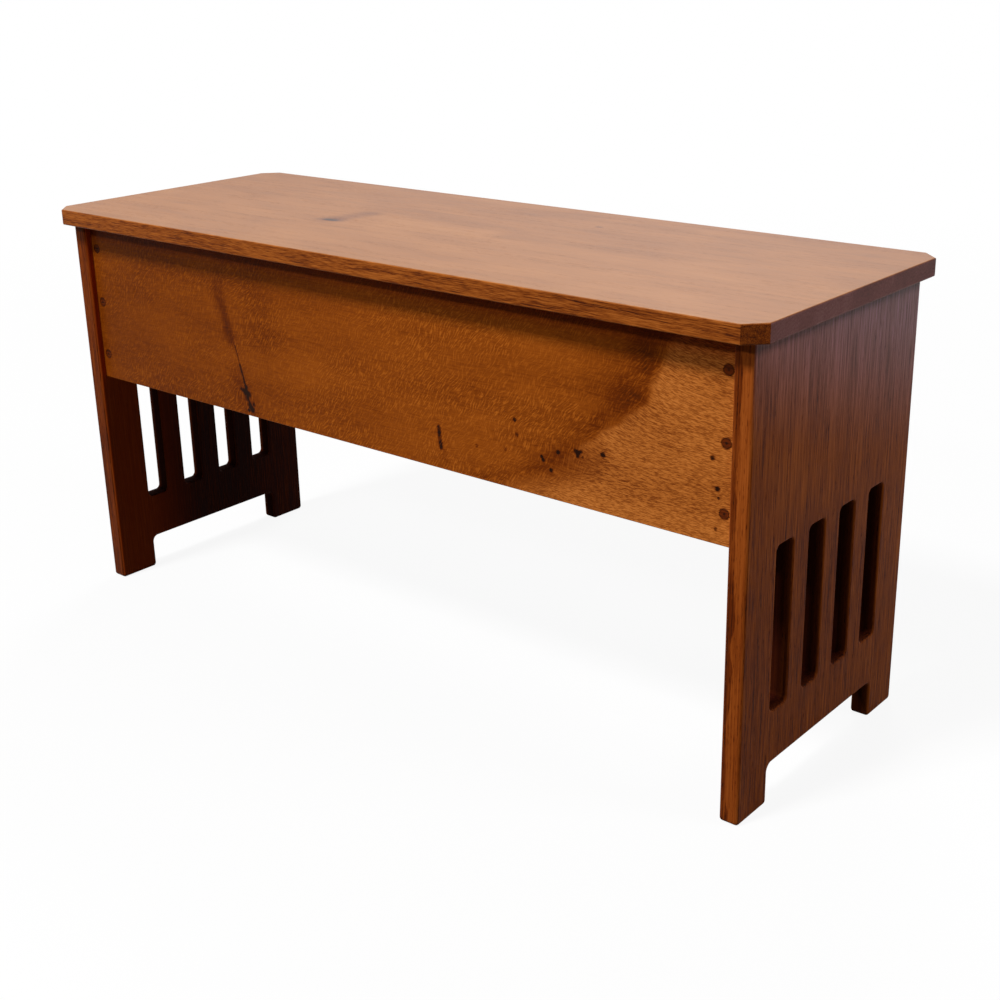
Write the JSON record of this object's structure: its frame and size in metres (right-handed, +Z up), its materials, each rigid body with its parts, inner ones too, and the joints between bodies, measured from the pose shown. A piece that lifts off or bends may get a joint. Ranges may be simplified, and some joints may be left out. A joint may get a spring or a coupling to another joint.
{
  "type": "mission bench",
  "caption": "Backless mission bench: a clipped-corner board seat on slotted board ends with cut-out feet, tied by plugged front and back rails.",
  "frame": {"origin": "on the floor under the centre of the seat", "axes": "+X along the seat to the right seen from the front, +Y to the back, +Z up"},
  "size_m": [0.928, 0.33, 0.459],
  "materials": {
    "seat_oak": "stained and satin lacquered oak",
    "end_oak": "stained and satin lacquered oak",
    "rail_oak": "stained and satin lacquered oak",
    "cleat_oak": "plain planed oak, lightly stained",
    "plug_oak": "stained and lacquered end grain",
    "zinc_screw": "zinc plated"
  },
  "bodies": {
    "root": {"back_left_corner_cleat": "cleat_oak", "back_left_corner_cleat_screws": "zinc_screw", "back_left_rail_plugs": "plug_oak", "back_left_rail_screws": "zinc_screw", "back_rail": "rail_oak", "back_right_corner_cleat": "cleat_oak", "back_right_corner_cleat_screws": "zinc_screw", "back_right_rail_plugs": "plug_oak", "back_right_rail_screws": "zinc_screw", "back_seat_cleat": "cleat_oak", "back_seat_cleat_rail_screws": "zinc_screw", "back_seat_cleat_seat_screws": "zinc_screw", "front_left_corner_cleat": "cleat_oak", "front_left_corner_cleat_screws": "zinc_screw", "front_left_rail_plugs": "plug_oak", "front_left_rail_screws": "zinc_screw", "front_rail": "rail_oak", "front_right_corner_cleat": "cleat_oak", "front_right_corner_cleat_screws": "zinc_screw", "front_right_rail_plugs": "plug_oak", "front_right_rail_screws": "zinc_screw", "front_seat_cleat": "cleat_oak", "front_seat_cleat_rail_screws": "zinc_screw", "front_seat_cleat_seat_screws": "zinc_screw", "left_end_back_stave": "end_oak", "left_end_front_stave": "end_oak", "left_end_middle_stave": "end_oak", "left_seat_cleat": "cleat_oak", "left_seat_cleat_end_screws": "zinc_screw", "left_seat_cleat_seat_screws": "zinc_screw", "right_end_back_stave": "end_oak", "right_end_front_stave": "end_oak", "right_end_middle_stave": "end_oak", "right_seat_cleat": "cleat_oak", "right_seat_cleat_end_screws": "zinc_screw", "right_seat_cleat_seat_screws": "zinc_screw", "seat_back_board": "seat_oak", "seat_front_board": "seat_oak", "seat_middle_board": "seat_oak"}
  },
  "joints": []
}
